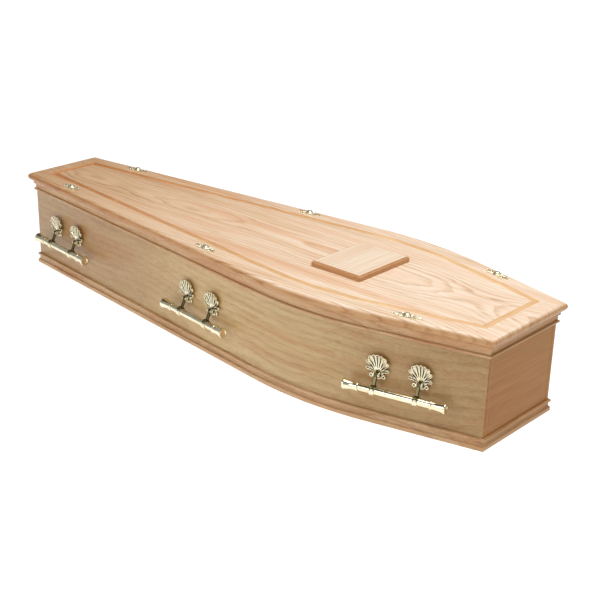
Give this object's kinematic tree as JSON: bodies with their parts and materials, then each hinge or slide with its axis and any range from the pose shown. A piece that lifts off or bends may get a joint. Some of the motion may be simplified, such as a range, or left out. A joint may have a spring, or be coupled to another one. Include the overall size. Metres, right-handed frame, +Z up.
{
  "type": "wooden coffin",
  "caption": "Oak-veneered tapered coffin with bent shoulders, a bullnosed screwed lid, planted mouldings, a nameplate block and swinging brass bar handles.",
  "frame": {"origin": "on the floor under the middle of the coffin, halfway along and halfway across", "axes": "+X towards the head end, +Y to the left as seen from the foot end, +Z up"},
  "size_m": [1.9, 0.5882, 0.335],
  "materials": {
    "lid_veneer": "pale oak veneer on board, satin lacquer",
    "board_veneer": "pale oak veneer on board, satin lacquer",
    "floor_board": "bare particle board",
    "moulding": "oak foil-faced moulding, satin lacquer",
    "nameplate_block": "oak-faced block with a stained rounded edge",
    "screw_plate": "pale brass plate, polished",
    "screw": "pale brass plate, polished",
    "handle_casting": "pale brass plate on a casting, polished",
    "handle_bar": "pale brass plate, polished"
  },
  "bodies": {
    "coffin": {"floor_board": "floor_board", "side_left": "board_veneer", "side_right": "board_veneer", "head_end": "board_veneer", "foot_end": "board_veneer", "lid": "lid_veneer", "nameplate_block": "nameplate_block", "top_moulding_left": "moulding", "top_moulding_right": "moulding", "top_moulding_head": "moulding", "top_moulding_foot": "moulding", "base_moulding_left": "moulding", "base_moulding_right": "moulding", "base_moulding_head": "moulding", "base_moulding_foot": "moulding", "lid_screw_plate_left_foot": "screw_plate", "lid_screw_plate_left_middle": "screw_plate", "lid_screw_plate_left_head": "screw_plate", "lid_screw_plate_right_foot": "screw_plate", "lid_screw_plate_right_middle": "screw_plate", "lid_screw_plate_right_head": "screw_plate", "lid_screw_left_foot": "screw", "lid_screw_left_middle": "screw", "lid_screw_left_head": "screw", "lid_screw_right_foot": "screw", "lid_screw_right_middle": "screw", "lid_screw_right_head": "screw", "handle_plate_left_foot_1": "handle_casting", "handle_plate_left_foot_2": "handle_casting", "handle_plate_left_middle_1": "handle_casting", "handle_plate_left_middle_2": "handle_casting", "handle_plate_left_head_1": "handle_casting", "handle_plate_left_head_2": "handle_casting", "handle_plate_right_foot_1": "handle_casting", "handle_plate_right_foot_2": "handle_casting", "handle_plate_right_middle_1": "handle_casting", "handle_plate_right_middle_2": "handle_casting", "handle_plate_right_head_1": "handle_casting", "handle_plate_right_head_2": "handle_casting"},
    "handle_left_foot": {"handle_bar_left_foot": "handle_bar", "handle_arm_left_foot_1": "handle_bar", "handle_arm_left_foot_2": "handle_bar"},
    "handle_left_middle": {"handle_bar_left_middle": "handle_bar", "handle_arm_left_middle_1": "handle_bar", "handle_arm_left_middle_2": "handle_bar"},
    "handle_left_head": {"handle_bar_left_head": "handle_bar", "handle_arm_left_head_1": "handle_bar", "handle_arm_left_head_2": "handle_bar"},
    "handle_right_foot": {"handle_bar_right_foot": "handle_bar", "handle_arm_right_foot_1": "handle_bar", "handle_arm_right_foot_2": "handle_bar"},
    "handle_right_middle": {"handle_bar_right_middle": "handle_bar", "handle_arm_right_middle_1": "handle_bar", "handle_arm_right_middle_2": "handle_bar"},
    "handle_right_head": {"handle_bar_right_head": "handle_bar", "handle_arm_right_head_1": "handle_bar", "handle_arm_right_head_2": "handle_bar"}
  },
  "joints": [
    {"name": "swing_left_foot", "type": "hinge", "parent": "coffin", "child": "handle_left_foot", "pos_m": [-0.74161, 0.16165, 0.147], "axis": [0.9933, 0.1153, 0], "range_deg": [0, 90]},
    {"name": "swing_left_middle", "type": "hinge", "parent": "coffin", "child": "handle_left_middle", "pos_m": [-0.02161, 0.24523, 0.147], "axis": [0.9933, 0.1153, 0], "range_deg": [0, 90]},
    {"name": "swing_left_head", "type": "hinge", "parent": "coffin", "child": "handle_left_head", "pos_m": [0.70341, 0.2267, 0.147], "axis": [0.9699, -0.2434, 0], "range_deg": [0, 90]},
    {"name": "swing_right_foot", "type": "hinge", "parent": "coffin", "child": "handle_right_foot", "pos_m": [-0.74161, -0.16165, 0.147], "axis": [-0.9933, 0.1153, 0], "range_deg": [0, 90]},
    {"name": "swing_right_middle", "type": "hinge", "parent": "coffin", "child": "handle_right_middle", "pos_m": [-0.02161, -0.24523, 0.147], "axis": [-0.9933, 0.1153, 0], "range_deg": [0, 90]},
    {"name": "swing_right_head", "type": "hinge", "parent": "coffin", "child": "handle_right_head", "pos_m": [0.70341, -0.2267, 0.147], "axis": [-0.9699, -0.2434, 0], "range_deg": [0, 90]}
  ]
}
